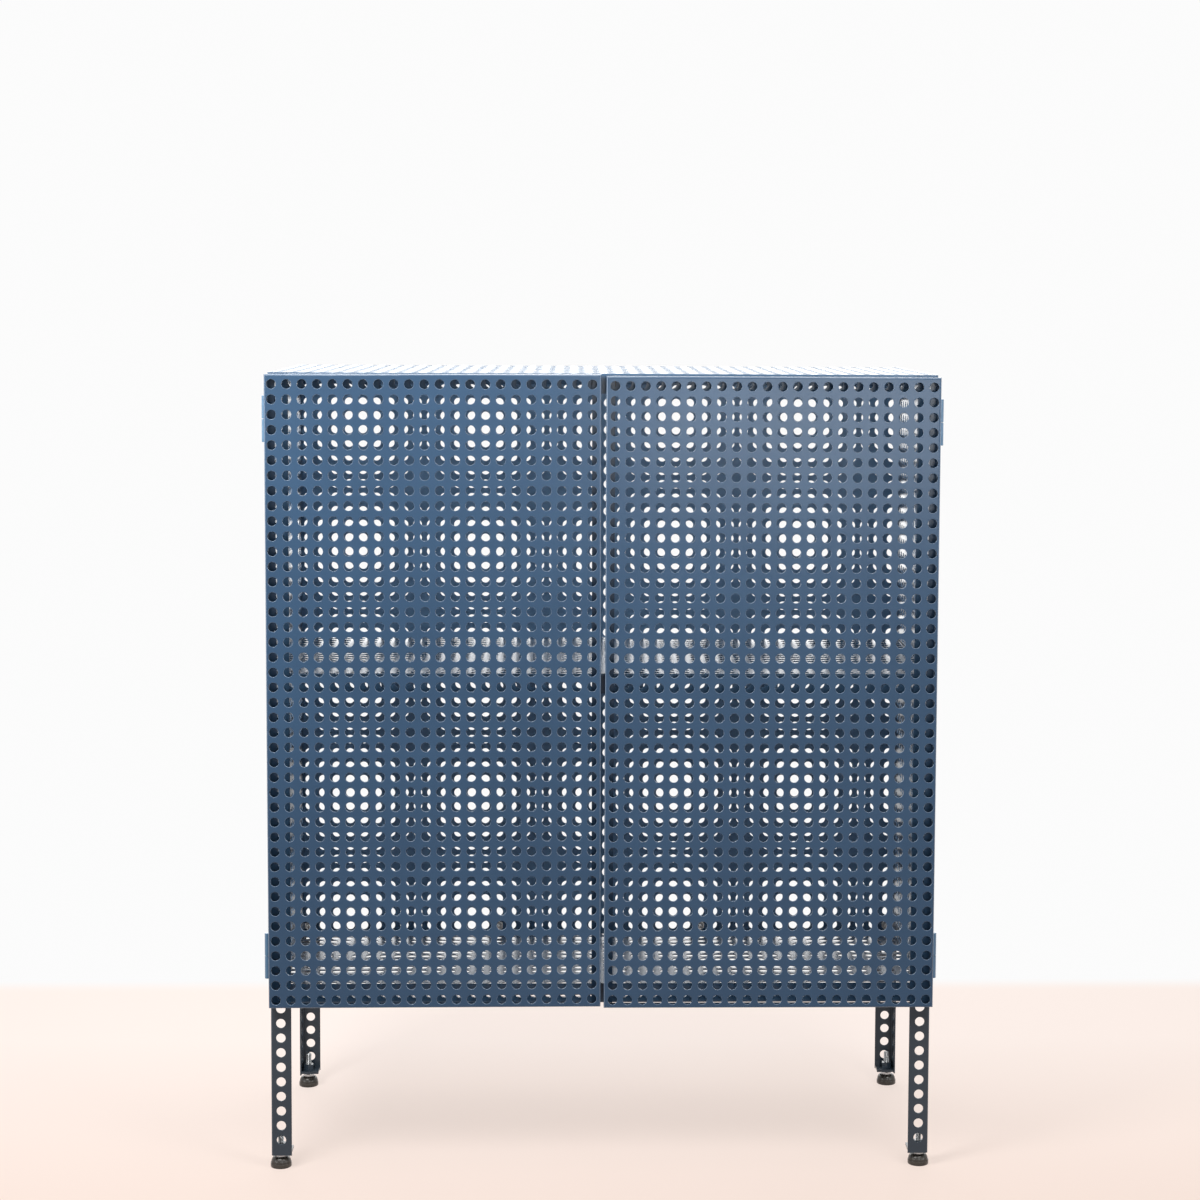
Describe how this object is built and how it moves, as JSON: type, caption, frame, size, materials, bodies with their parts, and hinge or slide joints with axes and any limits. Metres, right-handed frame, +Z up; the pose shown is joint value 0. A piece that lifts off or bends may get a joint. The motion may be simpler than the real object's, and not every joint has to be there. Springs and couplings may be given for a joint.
{
  "type": "perforated two-door cabinet",
  "caption": "Free-standing two-door cabinet of folded perforated sheet steel with a shelf, on punched angle legs with levelling feet.",
  "frame": {"origin": "on the floor, in the middle of the cabinet's footprint, with the doors and hinges counted in", "axes": "+Z up, -Y out of the doors towards the viewer, +X to the viewer's right"},
  "size_m": [0.6758, 0.295, 0.805],
  "materials": {
    "blue_paint": "satin dark blue powder coat",
    "bare_steel": "zinc-plated steel",
    "black_plastic": "black moulded nylon"
  },
  "bodies": {
    "cabinet": {"leg_front_left": "blue_paint", "leg_front_right": "blue_paint", "leg_rear_left": "blue_paint", "leg_rear_right": "blue_paint", "top_tray": "blue_paint", "shelf_tray": "blue_paint", "bottom_tray": "blue_paint", "back_panel": "blue_paint", "side_panel_left": "blue_paint", "side_panel_right": "blue_paint", "hinge_frame_leaf_upper_left": "blue_paint", "hinge_frame_leaf_upper_right": "blue_paint", "hinge_frame_leaf_lower_left": "blue_paint", "hinge_frame_leaf_lower_right": "blue_paint", "hinge_pin_upper_left": "bare_steel", "hinge_pin_upper_right": "bare_steel", "hinge_pin_lower_left": "bare_steel", "hinge_pin_lower_right": "bare_steel", "foot_plate_front_left": "blue_paint", "foot_plate_front_right": "blue_paint", "foot_plate_rear_left": "blue_paint", "foot_plate_rear_right": "blue_paint", "tray_bolts": "bare_steel", "tray_nuts": "bare_steel", "catch_case_left": "black_plastic", "catch_case_right": "black_plastic", "catch_magnet_left": "bare_steel", "catch_magnet_right": "bare_steel"},
    "left_door": {"door_left": "blue_paint", "hinge_door_leaf_upper_left": "blue_paint", "hinge_door_leaf_lower_left": "blue_paint"},
    "right_door": {"door_right": "blue_paint", "hinge_door_leaf_upper_right": "blue_paint", "hinge_door_leaf_lower_right": "blue_paint"},
    "foot_front_left": {"foot_stud_front_left": "bare_steel", "foot_pad_front_left": "black_plastic"},
    "foot_front_right": {"foot_stud_front_right": "bare_steel", "foot_pad_front_right": "black_plastic"},
    "foot_rear_left": {"foot_stud_rear_left": "bare_steel", "foot_pad_rear_left": "black_plastic"},
    "foot_rear_right": {"foot_stud_rear_right": "bare_steel", "foot_pad_rear_right": "black_plastic"}
  },
  "joints": [
    {"name": "left_door_hinge", "type": "hinge", "parent": "cabinet", "child": "left_door", "pos_m": [-0.3353, -0.13075, 0.4875], "axis": [0, 0, -1], "range_deg": [0, 180]},
    {"name": "right_door_hinge", "type": "hinge", "parent": "cabinet", "child": "right_door", "pos_m": [0.3353, -0.13075, 0.4875], "axis": [0, 0, 1], "range_deg": [0, 180]},
    {"name": "foot_front_left_height", "type": "slide", "parent": "cabinet", "child": "foot_front_left", "axis": [0, 0, -1], "range_m": [-0.0015, 0.012]},
    {"name": "foot_front_right_height", "type": "slide", "parent": "cabinet", "child": "foot_front_right", "axis": [0, 0, -1], "range_m": [-0.0015, 0.012]},
    {"name": "foot_rear_left_height", "type": "slide", "parent": "cabinet", "child": "foot_rear_left", "axis": [0, 0, -1], "range_m": [-0.0015, 0.012]},
    {"name": "foot_rear_right_height", "type": "slide", "parent": "cabinet", "child": "foot_rear_right", "axis": [0, 0, -1], "range_m": [-0.0015, 0.012]}
  ]
}
